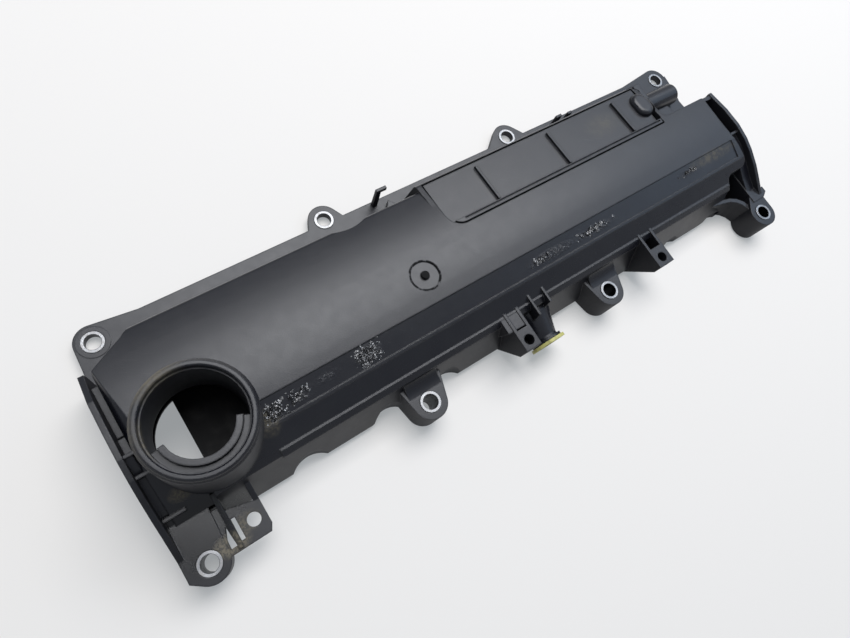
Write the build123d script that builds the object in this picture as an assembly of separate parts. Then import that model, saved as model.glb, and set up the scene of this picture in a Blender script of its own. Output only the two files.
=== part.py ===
"""Valve cover for a four-cylinder in-line engine, with its separator lid, baffle, seals and sleeves.

Millimetres. X runs along the engine, Y towards the back row of bolts and Z up.
The origin is the middle of the cover's length and width, at the foot of the free gasket.
"""
from build123d import *
import math
import os

# ---- levels, counted from the foot of the free gasket ----
GASKET_PROUD = 1.2          # the free gasket stands this far below the flange
FLANGE_THICK = 4.0
SLEEVE_PROUD = 0.4          # each sleeve stands this far above its pad
FRONT_PAD_HEIGHT = 19.2     # front bolt pads, above the sealing plane
FLANGE_Z = GASKET_PROUD
FLANGE_TOP = FLANGE_Z + FLANGE_THICK
PAD_TOP = FLANGE_Z + FRONT_PAD_HEIGHT

# ---- plan of the moulding ----
WALL = 2.6
HULL_LEFT = -203.9
HULL_RIGHT = 185.0
FRONT_Y = -48.0
BACK_EDGE_Y = 62.0
PLATE_LEFT = -210.0         # outer faces of the two end plates
PLATE_RIGHT = 194.5
PLATE_THICK = 2.6
CORNER_RIGHT = 210.0        # the flange's far corner, by the last back bolt
PLAN_CORNER_R = 4.0
END_ROUND_LEFT = 7.0        # rounding of the deck's two end edges
END_ROUND_RIGHT = 5.0
END_ROUND_TOP = 40.2
STEP_X = 147.0              # right of here the deck stops short at STEP_Y
STEP_Y = 18.6
NOTCH = ((-178.2, 48.0), (-187.0, 41.0), (HULL_LEFT, 31.5))  # deck's edge around the first back bolt
POCKET_X = 167.0            # pocket beside the last front bolt
POCKET_Y = -32.5
SOCKET_R = 22.5             # clear of the second back bolt
END_ZONE_X = -184.2         # left of here the front of the deck is one long slope
SCALLOPS = (                # hollows along the front skirt: x, depth, radius
    (-140.5, 3.8, 14.0), (-95.0, 4.0, 12.0), (-58.0, 4.0, 12.0), (121.0, 1.8, 14.0), (161.0, 1.8, 16.0),
)
EDGE_BACK = (171.0, -175.0)     # ends of the flange's straight back edge
EDGE_LEFT_Y = 40.0
EDGE_RIGHT = ((PLATE_RIGHT, 14.0), (206.8, 28.0), (206.2, 34.6), (208.6, 42.0))

# ---- bolts and their steel sleeves ----
BACK_BOLTS = ((-200.0, 56.0), (-68.1, 64.0), (66.1, 64.0), (200.0, 56.3))
FRONT_BOLTS = ((-199.3, -62.9), (-77.1, -54.2), (50.5, -54.0), (185.5, -63.9))
SLEEVE_R = 5.4
SLEEVE_BORE_R = 3.95
TAB_R = 9.0
BACK_TAB_FEET = ((-79.5, -56.5), (48.5, 79.0))  # where the two middle back tabs leave the flange
BACK_TAB_FOOT_Y = 61.0
BOSS_R = 9.1
BOSS_ROOT_Y = -38.0         # the tongues of the front pads run this far under the wall
BOSS_WAIST_Y = -43.0
BOSS_FEET = ((-88.2, -64.0), (39.0, 63.6))      # where the two middle front pads meet the wall
FIRST_BOSS_FOOT = ((PLATE_LEFT, -66.0), (PLATE_LEFT, -40.0), (-189.3, -40.0))
LAST_BOSS_FOOT = ((184.6, -50.0), (PLATE_RIGHT, -50.0))
RING_PAD_R = 8.0
RING_PAD_PROUD = 0.2
SADDLES_X = ((-86.0, -66.5), (41.5, 61.5))
SADDLE = ((-48.5, PAD_TOP), (-43.6, PAD_TOP + 1.8), (-40.4, 26.0))  # its hollow curve, as (y, z)
SADDLE_FOOT_Z = 16.0

# ---- section of the hull across the engine, as (y, z) ----
SKIRT_FOOT = (FRONT_Y, FLANGE_Z)
SKIRT_BEND = (FRONT_Y, FLANGE_TOP + 1.0)
SHOULDER_LOW = (-40.0, 27.0)
SHOULDER = (-37.2, 29.2)
CREST = (-27.6, 35.2)
BAND_TOP = (-15.0, 39.2)
CROWN = (2.0, 40.0)
DECK_BACK = (44.0, 33.6)
BACK_FOOT = (54.0, FLANGE_Z)
LID_ZONE_BACK = (48.0, 34.0)
LID_ZONE_Y = 19.0
END_CREST_Y = -10.0
CREST_ROUND = 3.0
END_WALL_TOP = (-42.0, 20.4)

# ---- label band sunk in the deck ----
BAND_SUNK = 0.6
LEDGE_PROUD = 0.5
LEDGE_FOOT = 2.6
BAND_LEFT = -157.0
BAND_RIGHT = 180.0
LEDGE_X = (-152.0, 166.0)     # ends of the ledge along the shoulder
BEAD_WIDE = 1.5
BEAD_PROUD = 0.15

# ---- filler neck ----
NECK_X = -175.6
NECK_Y = -14.3
NECK_TOP = 68.0
NECK_FOOT_R = 25.2
NECK_FOOT_Z = 22.0
RIM_R = 23.7
RIM_BEVEL = 0.9
MOUTH_R = 20.9
MOUTH_DEEP = 3.0
MOUTH_BEVEL = 0.6
RIM_BAND = (2.0, 3.0)       # the rim's straight band ends, and the neck's taper starts, this far down
NECK_BORE_R = 20.2
LUG_R = 14.7
LUG_LIP_R = 17.4            # outside of the lip that stands along the lug's inner edge
LUG_LIP_HIGH = 2.4
LUG_TOP = 60.1
LUG_THICK = 1.6
LUG_ARC = 151.0
LUG_TURN = 187.0

# ---- separator lid ----
LID_LEFT = -19.8
LID_RIGHT = 143.0
LID_FRONT_Y = 15.9
LID_BACK_Y = 46.0
LID_FLOOR_FRONT = 36.4      # level of the sunk floor at its front and back edges
LID_FLOOR_BACK = 34.2
LID_THICK = 2.6
LID_GAP = 0.9
LID_BORDER = 4.0            # the deck's level floor starts this far before the lid
LID_CORNER_R = 8.0
LID_RIM_WIDE = 2.8
RIM_GROOVE = (1.3, 0.9, 0.9)    # groove along the rim: distance from its front, width, depth
LID_SEAT = 2.2
LID_SLOT = (1.5, 19.6, 26.6)   # wider gap along part of its right end: width, from, to
LID_RIBS_X = (14.0, 68.0, 122.0)
LID_RIB_WIDE = 1.5
LID_RIB_PROUD = 1.8
LID_RIB_Y = (19.5, 43.0)
DOME_R = 6.0
DOME_PAST = 3.4             # the dome stands out past the lid's right end by this much
DOME_X = LID_RIGHT + DOME_PAST - DOME_R
DOME_PROUD = 3.4
DOME_ROUND = 2.8
DOME_Y = (24.4, 41.4)
DOME_WALL = 2.2
VENT = (LID_RIGHT + 4.2, 44.9, 6.0, 1.6)    # small slot behind the dome: x, y, length, width
VENT_TURN = -50.0

# ---- baffle under the deck ----
BAFFLE_Z = 17.0
BAFFLE_THICK = 2.0
BAFFLE_CLEAR = 2.8
BAFFLE_FRONT_Y = -34.0
BAFFLE_BACK_Y = 35.0
BAFFLE_NOTCH_X = -176.0
BAFFLE_EDGE_X = -181.3      # straight edge of the filler opening
FILLER_R = 21.6
FILLER_Y = -12.0
POST_R = 3.0
POSTS = (
    (-140.0, 22.0), (-140.0, -9.0), (-40.0, -9.0), (-40.0, 22.0), (60.0, -9.0), (165.0, -9.0), (165.0, 8.0),
)

# ---- gasket and its groove ----
GROOVE_WIDE = 3.6
GROOVE_DEEP = 2.4
GASKET_WIDE = 3.0
GASKET_LIP = 1.8
SEAL_LAND = 1.9             # flange left between the groove and the open inside
SEAL_CORNER_R = 5.0
SEAL_LINE = ((-204.8, 41.0), (-186.0, 55.5), (180.0, 55.5), (188.5, 46.0), (188.5, -38.5), (-204.8, -38.5))

# ---- crankcase spout on the front ----
SPOUT_X = 2.0
SPOUT_Z = 12.5
SPOUT_ROOT_R = 12.0
SPOUT_NECK_R = 8.8
SPOUT_TIP_R = 7.4
SPOUT_BORE_R = 5.4
SPOUT_ROOT_Y = -38.0
SPOUT_FLANGE_Y = -58.2
SPOUT_FLANGE_R = 9.0
SPOUT_FLANGE_THICK = 1.6
SPOUT_ROOT_LONG = 5.5
SPOUT_NECK_AT = 14.3        # from the root to the end of the first taper
SPOUT_TIP_LONG = 1.4
SPOUT_BORE_BACK = 6.0       # the bore starts this far inside the root
SEAL_R = 10.3
SPIGOT_R = 6.8
SEAL_THICK = 1.8
SPIGOT_PAST = 0.3           # the spigot ends this far inside the seal's face
FINS = ((-3.4, -46.2), (6.6, -43.0))    # fins beside the spout: x, y of the outer end
FIN_TOP = 31.4
FIN_THICK = 1.4
FIN_BACK = 14.0

# ---- bracket blocks on the front, as (x0, x1, depth of the outer end) ----
BLOCKS = ((-21.0, -11.0, 10.0), (81.8, 93.3, 6.5))
BLOCK_TOP = 30.0
BLOCK_OUT_Y = -59.3
BLOCK_ROOT_Y = -47.3
BLOCK_HOLE_R = 2.9
BLOCK_HOLE_Y = -54.2
BLOCK_HOLE_DEEP = 9.0
BLOCK_WEB = 1.8
BLOCK_WEB_FOOT = ((FRONT_Y + 3.0, 6.0), (BOSS_ROOT_Y, 6.0))
BLOCK_FILLING_FOOT = ((-43.0, 12.0), (BOSS_ROOT_Y, 12.0))
BLOCK_FILLING_ENDS = (3.0, 1.4)     # the first block's filling starts before it and stops short of its end

# ---- web that ties the last front boss to the wall ----
WEB_TOP = 18.5
WEB_PLAN = (
    (152.0, -42.6), (158.0, -44.2), (164.0, -45.4), (170.4, -47.0), (174.4, -49.4), (177.4, -52.8),
    (179.6, -58.0), (182.6, -57.0), (179.8, -51.0), (176.2, -47.2), (171.4, -44.6), (164.5, -43.0),
    (152.0, -40.4),
)

BOSS_RIB_X = (184.3, 186.4)    # rib from the pocket's wall to the boss
PLATFORM_X = (186.4, 194.5, 198.6)
PLATFORM_Y = (-55.4, -53.0, -49.2, -47.5)
PLATFORM_TOP = 21.0

# ---- shelf beside the first front bolt ----
SHELF_TOP = 20.0
SHELF_THICK = 3.0
SHELF_RIGHT = -169.4
SHELF_FRONT_Y = -65.5
SHELF_BACK_Y = -49.4
SHELF_HOLE = (-175.4, -56.8)
SHELF_HOLE_R = 3.2
SHELF_RIB_X = (-186.4, -184.2)
SHELF_RIB_FOOT = ((SHELF_FRONT_Y + 1.0, 14.0), (-44.0, 5.0))
SHELF_RIB_ROOT = (-38.0, 24.0)
SHELF_END_RIB = ((-50.0, SHELF_TOP), (-50.0, 14.0))
SHELF_END_RIB_THICK = 2.6
SHELF_LEFT = -192.0
SHELF_ROOT_Y = -44.0
SHELF_CORNER = (1.8, 3.3)
SHELF_GAP = ((-184.2, -40.0), (-172.0, -40.0), (-172.0, SHELF_BACK_Y), (-184.2, -46.5))
SHELF_WINDOW = ((-187.1, -53.3), (-186.4, -62.7), (-189.6, -62.7), (-189.0, -58.3))
SLOT_X = (-184.0, -182.0)
SLOT_Y = (-61.9, -51.4)

# ---- harness clips on the back flange ----
CLIP_X = (-39.0, -36.0)
CLIP_SECTION = ((58.5, FLANGE_Z), (61.0, FLANGE_Z), (60.6, 22.0), (58.9, 22.0))
HOOK_RIGHT = -32.5
HOOK_FOOT = 19.6
CLIP_GUSSET = ((-34.0, 52.0), (-26.0, 52.0), (-30.0, 57.5))
CLIP_GUSSET_TOP = 9.0
CLIP_TABS = ((102.0, 4.6, 12.0), (113.5, 3.4, 10.0))    # small tabs: x, width, top
CLIP_TABS_Y = (58.8, 60.4)

# ---- end plates: arch profile as (y, z) ----
ARCH = ((19.5, 37.4), (4.0, 39.2), (-8.4, 39.2), (-18.4, 37.6), (-26.0, 35.2), (-35.7, 31.0), (-44.0, 26.4))
ARCH_FRONT_RIGHT = (-54.0, 20.4)
ARCH_FRONT_LEFT = (-66.5, 15.0)
ARCH_BACK_LEFT = ((36.0, 20.0), (35.0, 28.0))
CHANNEL_FLOOR = 12.0
BRIDGES_LEFT = ((-8.9, 38.4), (-18.5, 35.4), (-38.5, 24.0))
RAISED_LEFT = ((2.7, 28.0, 27.0), (-8.9, 1.5, 29.4))  # raised floors of the left channel: from, to, level
RAISED_INTO = 0.8           # the raised floors run this far into the hull's wall
STEP_WALL_TOP = 37.0
CHANNEL_FRONT = ((-8.0, 37.6), (-42.0, 19.8))
CHANNEL_END = ((-12.0, 34.6), (-20.0, 33.0), (-30.0, 28.6), (-39.0, 24.0), (-48.0, 20.4))
BRIDGE_RIGHT = (-12.0, 37.0)
BRIDGE_WIDE = 1.6
BRIDGE_DEEP = 3.0           # depth of a bridge where it runs on over the hull's rounded edge

# ---- outlet barrel and end block by the last back bolt ----
BARREL_Y = 41.0
BARREL_Z = 9.6
BARREL_R = 7.0
BARREL_LEFT = 150.0
BARREL_RIGHT = 198.6
BARREL_ROUND = 1.5
BLOCK_END = ((152.4, 33.4), (156.0, FLANGE_TOP))  # end block's fall as (x, z)
BLOCK_FRONT_Y = 36.0
LOW_ROOF = 10.0
LOW_ROOF_RIGHT = 189.0

# ---- gate disc on the deck ----
GATE_X = -50.2
GATE_Y = 0.0
GATE_R = 7.8
GATE_SUNK = 0.5
GATE_NUB_R = 2.0
GATE_NUB_PROUD = 1.2

HIGH = NECK_TOP + 10.0


# ---- drawing helpers ----
def slab(points, z0, z1):
    """A plan outline drawn up from z0 to z1."""
    face = make_face(Polyline(*[(x, y, z0) for x, y in points], close=True))
    return extrude(face, amount=z1 - z0, dir=(0, 0, 1))


def plan(face, z0, z1):
    return Pos(0, 0, z0) * extrude(face, amount=z1 - z0, dir=(0, 0, 1))


def bar(points, x0, x1):
    """A (y, z) section drawn along X from x0 to x1."""
    face = make_face(Polyline(*[(x0, y, z) for y, z in points], close=True))
    return extrude(face, amount=x1 - x0, dir=(1, 0, 0))


def box(x0, x1, y0, y1, z0, z1):
    return Pos((x0 + x1) / 2, (y0 + y1) / 2, (z0 + z1) / 2) * Box(x1 - x0, y1 - y0, z1 - z0)


def rod(x, y, r, z0, z1):
    return Pos(x, y, (z0 + z1) / 2) * Cylinder(r, z1 - z0)


def turned_y(x, z, profile):
    """A body turned about a line along Y, from (radius, y) points."""
    outline = Polyline(*[(x + r, y, z) for r, y in profile], close=True)
    return revolve(make_face(outline), Axis((x, 0, z), (0, 1, 0)), 360)


def turned_z(x, y, profile, turn=0.0, arc=360.0):
    """A body turned about a line along Z, from (radius, z) points."""
    outline = make_face(Polyline(*[(r, 0, z) for r, z in profile], close=True))
    return Pos(x, y) * Rot(0, 0, turn) * revolve(outline, Axis.Z, arc)


def tongue(x, y, r, foot):
    """Plan of a bolt tab: the hull of its round end and the foot where it meets the cover."""
    return make_hull((Pos(x, y) * Circle(r)).edges() + Polyline(*foot).edges())


def crown_z(y):
    """Height of the crowned deck at y, on the arc through the band's top, the crown and the back edge."""
    (ya, za), (yb, zb), (yc, zc) = BAND_TOP, CROWN, DECK_BACK
    d = 2 * (ya * (zb - zc) + yb * (zc - za) + yc * (za - zb))
    a2, b2, c2 = ya**2 + za**2, yb**2 + zb**2, yc**2 + zc**2
    cy = (a2 * (zb - zc) + b2 * (zc - za) + c2 * (za - zb)) / d
    cz = (a2 * (yc - yb) + b2 * (ya - yc) + c2 * (yb - ya)) / d
    return cz + math.sqrt((ya - cy) ** 2 + (za - cz) ** 2 - (y - cy) ** 2)


def deck_z(y):
    """Height of the outer skin at y, from the crest to the back edge."""
    if y >= BAND_TOP[0]:
        return crown_z(y)
    (ya, za), (yb, zb) = CREST, BAND_TOP
    return za + (zb - za) * (y - ya) / (yb - ya)


def section_face(front, y1, back, inset):
    """A (y, z) section of the hull: front points, the crown's arc up to y1, then the back points."""
    y0 = front[-1][0]
    arc = ThreePointArc(*[(0, y, crown_z(y)) for y in (y0, (y0 + y1) / 2, y1)])
    tail = Polyline(*[(0, y, z) for y, z in [(y1, crown_z(y1))] + back + front[:-1] + [(y0, crown_z(y0))]])
    face = make_face(Wire(arc.edges() + tail.edges()))
    if inset:
        return offset(face, amount=-inset, kind=Kind.INTERSECTION)
    soft = [v for v in face.vertices() if v.Z > SHOULDER_LOW[1]]
    return fillet(soft, CREST_ROUND)


# ---- the main moulding ----
def hull_plan(inset):
    """Plan of the hull's walls, set in from the outside by inset."""
    outline = Polyline(
        (HULL_LEFT + inset, FRONT_Y + inset), (POCKET_X - inset, FRONT_Y + inset),
        (POCKET_X - inset, POCKET_Y + inset), (HULL_RIGHT - inset, POCKET_Y + inset),
        (HULL_RIGHT - inset, STEP_Y - inset), (STEP_X - inset, STEP_Y - inset),
        (STEP_X - inset, BACK_EDGE_Y), (NOTCH[0][0] + inset, BACK_EDGE_Y),
        (NOTCH[0][0] + inset, NOTCH[0][1] - inset / 2), (NOTCH[1][0] + inset / 2, NOTCH[1][1] - inset),
        (HULL_LEFT + inset, NOTCH[2][1] - inset),
        close=True,
    )
    face = make_face(outline)
    face = fillet(face.vertices(), PLAN_CORNER_R)
    for x, deep, r in SCALLOPS:
        face -= Pos(x, FRONT_Y - r + deep) * Circle(r + inset)
    face -= Pos(*BACK_BOLTS[1]) * Circle(SOCKET_R + inset)
    return face + Pos(DOME_X, sum(DOME_Y) / 2) * Circle(DOME_R + DOME_WALL - inset)


def end_rounds(inset):
    """Side view that rounds the deck's two end edges, drawn right across the hull."""
    x0, x1 = HULL_LEFT + inset, HULL_RIGHT - inset
    r0, r1 = END_ROUND_LEFT - inset, END_ROUND_RIGHT - inset
    top = END_ROUND_TOP - inset
    part_way = 1 - math.sqrt(0.5)
    corners = ((x0 + r0, top), (x0 + r0 * part_way, top - r0 * part_way), (x0, top - r0), (x0, 0.0),
               (x1, 0.0), (x1, top - r1), (x1 - r1 * part_way, top - r1 * part_way), (x1 - r1, top))
    points = [(x, 2 * FRONT_Y, z) for x, z in corners]
    wire = Wire([
        ThreePointArc(*points[0:3]), *Polyline(*points[2:6]).edges(), ThreePointArc(*points[5:8]),
        Line(points[7], points[0]),
    ])
    return extrude(make_face(wire), amount=3 * BACK_EDGE_Y, dir=(0, 1, 0))


def hull(inset, z0):
    """The hull's envelope, or with an inset its hollow."""
    solids = []
    front = [SKIRT_FOOT, SKIRT_BEND, SHOULDER_LOW, SHOULDER, CREST, BAND_TOP]
    end_front = [SKIRT_FOOT, SKIRT_BEND, END_WALL_TOP, (END_CREST_Y, crown_z(END_CREST_Y))]
    zones = (
        (end_front, DECK_BACK[0], [BACK_FOOT], HULL_LEFT + inset, END_ZONE_X + inset),
        (front, DECK_BACK[0], [BACK_FOOT], END_ZONE_X + inset, HULL_RIGHT - inset),
        (front, LID_ZONE_Y, [LID_ZONE_BACK, BACK_FOOT], LID_LEFT - LID_BORDER + inset,
         DOME_X + DOME_R + DOME_WALL - inset),
    )
    for points, y1, back, x0, x1 in zones:
        face = section_face(points, y1, back, inset)
        solids.append(Pos(x0, 0, 0) * extrude(face, amount=x1 - x0, dir=(1, 0, 0)))
    return (solids[0] + solids[1] + solids[2]) & end_rounds(inset) & plan(hull_plan(inset), z0, HIGH)


def seal_face(half):
    """Plan area inside the seal's line, grown by half."""
    face = fillet(make_face(Polyline(*SEAL_LINE, close=True)).vertices(), SEAL_CORNER_R)
    return offset(face, amount=half, kind=Kind.ARC)


def make_flange():
    """The flange plate, its eight tabs and the corner by the last back bolt."""
    right, left = EDGE_BACK
    face = make_face(Polyline(
        (PLATE_LEFT, FRONT_Y), (PLATE_RIGHT, FRONT_Y), *EDGE_RIGHT, (CORNER_RIGHT, BACK_BOLTS[3][1]),
        (right, BACK_EDGE_Y), (left, BACK_EDGE_Y), (PLATE_LEFT, EDGE_LEFT_Y), close=True,
    ))
    for x, deep, r in SCALLOPS:
        face -= Pos(x, FRONT_Y - r + deep) * Circle(r)
    feet = [
        ((PLATE_LEFT, EDGE_LEFT_Y), (left, BACK_EDGE_Y)),
        *[((x0, BACK_TAB_FOOT_Y), (x1, BACK_TAB_FOOT_Y)) for x0, x1 in BACK_TAB_FEET],
        ((right, BACK_EDGE_Y), EDGE_RIGHT[-1]),
    ]
    for (x, y), foot in zip(BACK_BOLTS, feet):
        face += tongue(x, y, TAB_R, foot)
    return plan(face, FLANGE_Z, FLANGE_TOP)


def make_saddle(x0, x1):
    """Hollow curve that carries a bolt pad's top up into the wall."""
    curve = [(x0, y, z) for y, z in SADDLE]
    (y0, z0), (_, z1) = SADDLE[0], SADDLE[-1]
    back = ((BOSS_ROOT_Y, z1), (BOSS_ROOT_Y, SADDLE_FOOT_Z), (y0, SADDLE_FOOT_Z), (y0, z0))
    tail = Polyline(curve[-1], *[(x0, y, z) for y, z in back])
    face = make_face(Wire([ThreePointArc(*curve), *tail.edges()]))
    return extrude(face, amount=x1 - x0, dir=(1, 0, 0))


def make_bosses():
    """Tall pads under the front bolts, with the tongues that tie them to the wall."""
    feet = [FIRST_BOSS_FOOT]
    for x0, x1 in BOSS_FEET:
        feet.append(((x0, BOSS_WAIST_Y), (x0, BOSS_ROOT_Y), (x1, BOSS_ROOT_Y), (x1, BOSS_WAIST_Y)))
    feet.append(LAST_BOSS_FOOT)
    solids = [plan(tongue(x, y, BOSS_R, foot), FLANGE_Z, PAD_TOP) for (x, y), foot in zip(FRONT_BOLTS, feet)]
    for x0, x1 in SADDLES_X:
        solids.append(make_saddle(x0, x1))
    web = slab(WEB_PLAN, FLANGE_Z, WEB_TOP)
    rib = box(*BOSS_RIB_X, PLATFORM_Y[0], POCKET_Y + 1.0, FLANGE_Z, PLATFORM_TOP)
    x0, x1, x2 = PLATFORM_X
    y0, y1, y2, y3 = PLATFORM_Y
    outline = ((x0, y3), (x1, y3), (x1, y2), (x2, y2), (x2, y1), (x1, y0), (x0, y0))
    platform = slab(outline, FLANGE_Z, PLATFORM_TOP)
    return solids + [web, rib, platform]


def footed(points, x0, x1):
    """A (y, z) profile closed down to the flange and drawn along X."""
    foot = ((points[-1][0], FLANGE_Z), (points[0][0], FLANGE_Z))
    return bar(points + foot, x0, x1)


def make_ends():
    """The arched plates that close each end, the channels beside them and the ribs that bridge them."""
    left = ARCH_BACK_LEFT + ARCH + (ARCH_FRONT_LEFT,)
    right = ARCH + (ARCH_FRONT_RIGHT,)
    inner_left = PLATE_LEFT + PLATE_THICK
    inner_right = PLATE_RIGHT - PLATE_THICK
    solids = [
        footed(left, PLATE_LEFT, inner_left),
        footed(right, inner_right, PLATE_RIGHT),
        box(inner_left, HULL_LEFT, FRONT_Y, NOTCH[2][1], FLANGE_Z, CHANNEL_FLOOR),
        footed(CHANNEL_FRONT, inner_left, HULL_LEFT),
        footed(CHANNEL_END, HULL_RIGHT, inner_right),
        box(HULL_RIGHT, inner_right, STEP_Y - PLATE_THICK, STEP_Y, FLANGE_Z, STEP_WALL_TOP),
    ]
    for y0, y1, top in RAISED_LEFT:
        solids.append(box(inner_left, HULL_LEFT + RAISED_INTO, y0, y1, FLANGE_Z, top))
    for y, top in BRIDGES_LEFT:
        y1 = y + BRIDGE_WIDE
        solids.append(box(inner_left, HULL_LEFT + END_ROUND_LEFT, y, y1, top - BRIDGE_DEEP, top))
        solids.append(box(inner_left, HULL_LEFT + WALL / 2, y, y1, FLANGE_TOP, top))
    y, top = BRIDGE_RIGHT
    y1 = y + BRIDGE_WIDE
    solids.append(box(HULL_RIGHT - END_ROUND_RIGHT / 2, inner_right, y, y1, top - BRIDGE_DEEP, top))
    solids.append(box(HULL_RIGHT - WALL / 2, inner_right, y, y1, FLANGE_TOP, top))
    return solids


def end_block(inset):
    """Block that carries the deck's level past the lid, or with an inset its hollow."""
    (x0, z0), (x1, z1) = BLOCK_END
    left = STEP_X - 2 * WALL
    fall = ((x0 - inset, z0 - inset), (x1 - inset, z1), (x1 - inset, FLANGE_Z))
    points = ((left, FLANGE_Z), (left, z0 - inset)) + fall
    face = make_face(Polyline(*[(x, 0, z) for x, z in points], close=True))
    block = extrude(face, amount=BACK_FOOT[0], dir=(0, 1, 0))
    front = BLOCK_FRONT_Y + inset
    (ya, za), (yb, zb) = LID_ZONE_BACK, BACK_FOOT
    return block & bar(((front, zb), (front, za), (ya - inset, za), (yb - inset, zb)), left, x1)


def low_roof(inset):
    """Low roof in front of the barrel, or with an inset its hollow."""
    x0, y0, y1 = STEP_X - 2 * WALL, STEP_Y - WALL, BLOCK_FRONT_Y + WALL
    return box(x0 + inset, LOW_ROOF_RIGHT - 2 * inset, y0 + inset, y1 - inset, FLANGE_Z, LOW_ROOF - inset)


def barrel(inset):
    """Outlet barrel that lies on the flange, or with an inset its hollow."""
    long = BARREL_RIGHT - BARREL_LEFT - inset
    r = BARREL_R - inset
    solid = Rot(0, 90, 0) * Cylinder(r, long)
    solid = fillet(solid.edges().filter_by(GeomType.CIRCLE).sort_by(Axis.X)[-1], BARREL_ROUND)
    solid = Pos(BARREL_LEFT + long / 2, BARREL_Y, BARREL_Z) * solid
    floor = FLANGE_TOP if inset else FLANGE_Z
    return solid & box(BARREL_LEFT, BARREL_RIGHT, BARREL_Y - r, BARREL_Y + r, floor, HIGH)


def make_outlet():
    """End block, low roof and outlet barrel behind the step in the deck."""
    return [end_block(0.0), low_roof(0.0), barrel(0.0)]


def mouth():
    """The open underside, inside the seal and under every part of the roof."""
    roof = hull_plan(WALL)
    x0 = STEP_X - 2 * WALL
    corners = ((LOW_ROOF_RIGHT - 2 * WALL, BLOCK_FRONT_Y), (BLOCK_END[1][0] - WALL, BACK_FOOT[0] - WALL))
    for x1, y1 in corners:
        roof += Pos((x0 + x1) / 2, (STEP_Y + y1) / 2) * Rectangle(x1 - x0, y1 - STEP_Y)
    return plan(seal_face(-GROOVE_WIDE / 2 - SEAL_LAND) & roof, 0.0, FLANGE_TOP)


def make_blocks():
    """Bracket blocks: a flat head with a blind hole, carried by a deep gusset and two webs."""
    solids, holes = [], []
    for x0, x1, deep in BLOCKS:
        gusset = (
            (BLOCK_ROOT_Y, BLOCK_TOP), (BLOCK_OUT_Y, BLOCK_TOP), (BLOCK_OUT_Y, BLOCK_TOP - deep),
            (FRONT_Y, FLANGE_Z), (FRONT_Y + 4.0, FLANGE_Z),
        )
        solids.append(bar(gusset, x0, x1))
        for x in (x0, x1 - BLOCK_WEB):
            web = ((SHOULDER[0] + 1.0, BLOCK_TOP), (BLOCK_ROOT_Y - 1.0, BLOCK_TOP)) + BLOCK_WEB_FOOT
            solids.append(bar(web, x, x + BLOCK_WEB))
        holes.append(rod((x0 + x1) / 2, BLOCK_HOLE_Y, BLOCK_HOLE_R, BLOCK_TOP - BLOCK_HOLE_DEEP, HIGH))
    x0, x1, _ = BLOCKS[0]
    before, short = BLOCK_FILLING_ENDS
    top = BLOCK_TOP - 0.5
    filling = ((SHOULDER[0] + 1.0, top), (BLOCK_ROOT_Y + 0.8, top)) + BLOCK_FILLING_FOOT
    solids.append(bar(filling, x0 - before, x1 - short))
    return solids, holes


def make_spout():
    """Crankcase spout: a tapered stub, its flange, the spigot that carries the seal and two fins."""
    lip_y = SPOUT_FLANGE_Y - SPOUT_FLANGE_THICK
    end_y = lip_y - SEAL_THICK + SPIGOT_PAST
    stub = turned_y(SPOUT_X, SPOUT_Z, (
        (0, SPOUT_ROOT_Y), (SPOUT_ROOT_R, SPOUT_ROOT_Y), (SPOUT_ROOT_R, SPOUT_ROOT_Y - SPOUT_ROOT_LONG),
        (SPOUT_NECK_R, SPOUT_ROOT_Y - SPOUT_NECK_AT), (SPOUT_TIP_R, SPOUT_FLANGE_Y + SPOUT_TIP_LONG),
        (SPOUT_TIP_R, SPOUT_FLANGE_Y), (SPOUT_FLANGE_R, SPOUT_FLANGE_Y), (SPOUT_FLANGE_R, lip_y),
        (SPIGOT_R, lip_y), (SPIGOT_R, end_y), (0, end_y),
    ))
    fins = []
    for x, y in FINS:
        fin = ((BLOCK_ROOT_Y + FIN_BACK, FIN_TOP), (y, FIN_TOP), (y - 1.0, SPOUT_Z), (SPOUT_ROOT_Y, SPOUT_Z))
        fins.append(bar(fin, x, x + FIN_THICK))
    stub &= box(SPOUT_X - 30.0, SPOUT_X + 30.0, -90.0, 0.0, FLANGE_Z, HIGH)
    return [stub] + fins


def make_shelf():
    """Slotted shelf beside the first front bolt, with the ribs that carry it."""
    dx, dy = SHELF_CORNER
    outline = (
        (SHELF_LEFT, SHELF_ROOT_Y), (SHELF_RIGHT, SHELF_ROOT_Y), (SHELF_RIGHT, SHELF_FRONT_Y + dy),
        (SHELF_RIGHT - dx, SHELF_FRONT_Y), (SHELF_LEFT, SHELF_FRONT_Y),
    )
    sheet = slab(outline, SHELF_TOP - SHELF_THICK, SHELF_TOP)
    sheet -= slab(SHELF_WINDOW, 0.0, HIGH)
    sheet -= box(*SLOT_X, *SLOT_Y, 0.0, HIGH)
    sheet -= rod(*SHELF_HOLE, SHELF_HOLE_R, 0.0, HIGH)
    sheet -= slab(SHELF_GAP, 0.0, HIGH)
    rib = (SHELF_RIB_ROOT, (SHELF_FRONT_Y + 1.0, SHELF_TOP + 0.8)) + SHELF_RIB_FOOT
    end_rib = (SHELF_RIB_ROOT,) + SHELF_END_RIB + SHELF_RIB_FOOT[1:]
    return [sheet, bar(rib, *SHELF_RIB_X), bar(end_rib, SHELF_RIGHT - SHELF_END_RIB_THICK, SHELF_RIGHT)]


def make_clips():
    """Harness clips that stand on the back flange."""
    (y1, top), (y0, _) = CLIP_SECTION[2:]
    post = bar(CLIP_SECTION, *CLIP_X)
    hook = box(CLIP_X[0], HOOK_RIGHT, y0, y1, HOOK_FOOT, top)
    gusset = slab(CLIP_GUSSET, FLANGE_Z, CLIP_GUSSET_TOP)
    tabs = [box(x, x + wide, *CLIP_TABS_Y, FLANGE_Z, top) for x, wide, top in CLIP_TABS]
    return [post, hook, gusset] + tabs


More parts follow.
